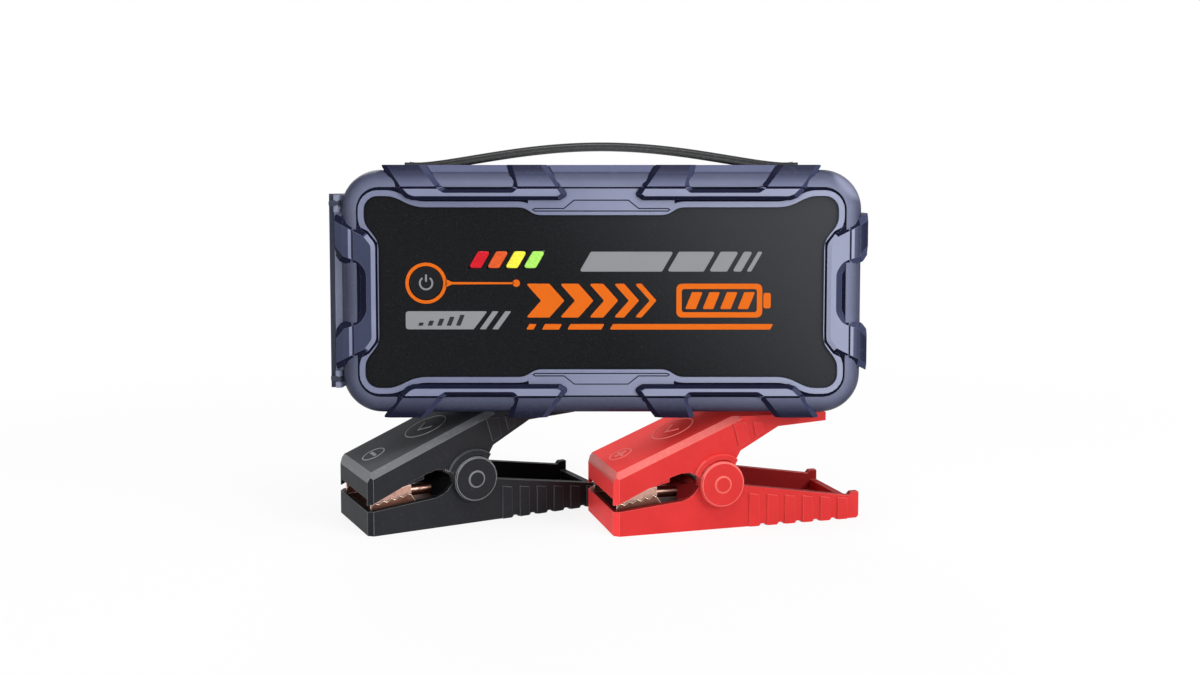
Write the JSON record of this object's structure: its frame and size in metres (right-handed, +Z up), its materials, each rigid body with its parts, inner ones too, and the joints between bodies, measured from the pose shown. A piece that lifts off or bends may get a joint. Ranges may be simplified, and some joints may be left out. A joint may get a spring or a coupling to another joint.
{
  "type": "jump starter pack",
  "caption": "Guarded portable power pack with a carry strap, port door and power button, standing on its sprung black and red battery clamps.",
  "frame": {"origin": "centre of the bounding box on the floor", "axes": "+X along the pack's width, to the right seen from the front panel; +Y away from the front panel; +Z up"},
  "size_m": [0.226, 0.09, 0.1615],
  "materials": {
    "case": "moulded, satin",
    "guard": "moulded, satin",
    "panel": "fine grain",
    "door": "matt",
    "strap": "matt",
    "screws": "zinc plated",
    "socket": "gloss",
    "jack": "matt",
    "lamp_red": "clear",
    "lamp_orange": "clear",
    "lamp_yellow": "clear",
    "lamp_green": "clear",
    "chips": "gloss",
    "board": "coated board",
    "cell": "foil",
    "foam": "foam",
    "copper": "copper plated",
    "clamp_black": "moulded, satin",
    "clamp_red": "moulded, satin"
  },
  "bodies": {
    "pack": {"front_frame": "case", "rear_frame": "case", "case_gasket": "door", "case_screws": "screws", "front_panel": "panel", "rear_panel": "panel", "guard_top_left": "guard", "guard_top_right": "guard", "guard_bottom_left": "guard", "guard_bottom_right": "guard", "guard_left": "guard", "guard_right": "guard", "carry_strap": "strap", "strap_screws": "screws", "port_bezel": "case", "output_socket": "socket", "usb_a_ports": "screws", "usb_c_port": "screws", "dc_jack": "jack", "door_hinge_pins": "screws", "button_switch": "screws", "led_window_red": "lamp_red", "led_window_orange": "lamp_orange", "led_window_yellow": "lamp_yellow", "led_window_green": "lamp_green", "led_board": "board", "led_chips": "chips", "board_screws": "screws", "main_board": "board", "board_parts": "jack", "cell_1": "cell", "cell_2": "cell", "cell_3": "cell", "cell_4": "cell", "cell_tray": "jack", "cell_foam": "foam", "busbar_positive": "copper", "busbar_negative": "copper", "black_lower_lever": "clamp_black", "black_lower_jaw": "copper", "black_ferrule": "copper", "black_pivot_pin": "screws", "black_pivot_caps": "clamp_black", "black_spring": "screws", "red_lower_lever": "clamp_red", "red_lower_jaw": "copper", "red_ferrule": "copper", "red_pivot_pin": "screws", "red_pivot_caps": "clamp_red", "red_spring": "screws"},
    "button": {"power_button": "panel"},
    "door": {"port_door": "door"},
    "black_jaw": {"black_upper_lever": "clamp_black", "black_upper_jaw": "copper"},
    "red_jaw": {"red_upper_lever": "clamp_red", "red_upper_jaw": "copper"}
  },
  "joints": [
    {"name": "black_squeeze", "type": "hinge", "parent": "pack", "child": "black_jaw", "pos_m": [-0.063, -0.00449, 0.0195], "axis": [-0.4695, 0.8829, 0], "range_deg": [0, 22], "stiffness_Nm_per_rad": 1, "deforming": ["black_spring"]},
    {"name": "red_squeeze", "type": "hinge", "parent": "pack", "child": "red_jaw", "pos_m": [0.04546, -0.01202, 0.0195], "axis": [-0.2672, 0.9636, 0], "range_deg": [0, 22], "stiffness_Nm_per_rad": 1, "deforming": ["red_spring"]},
    {"name": "power_press", "type": "slide", "parent": "pack", "child": "button", "axis": [0, 1, 0], "range_m": [0, 0.0008], "stiffness_N_per_m": 600},
    {"name": "door_hinge", "type": "hinge", "parent": "pack", "child": "door", "pos_m": [-0.10789, -0.03081, 0.0996], "axis": [0, 0, 1], "range_deg": [0, 100]}
  ]
}
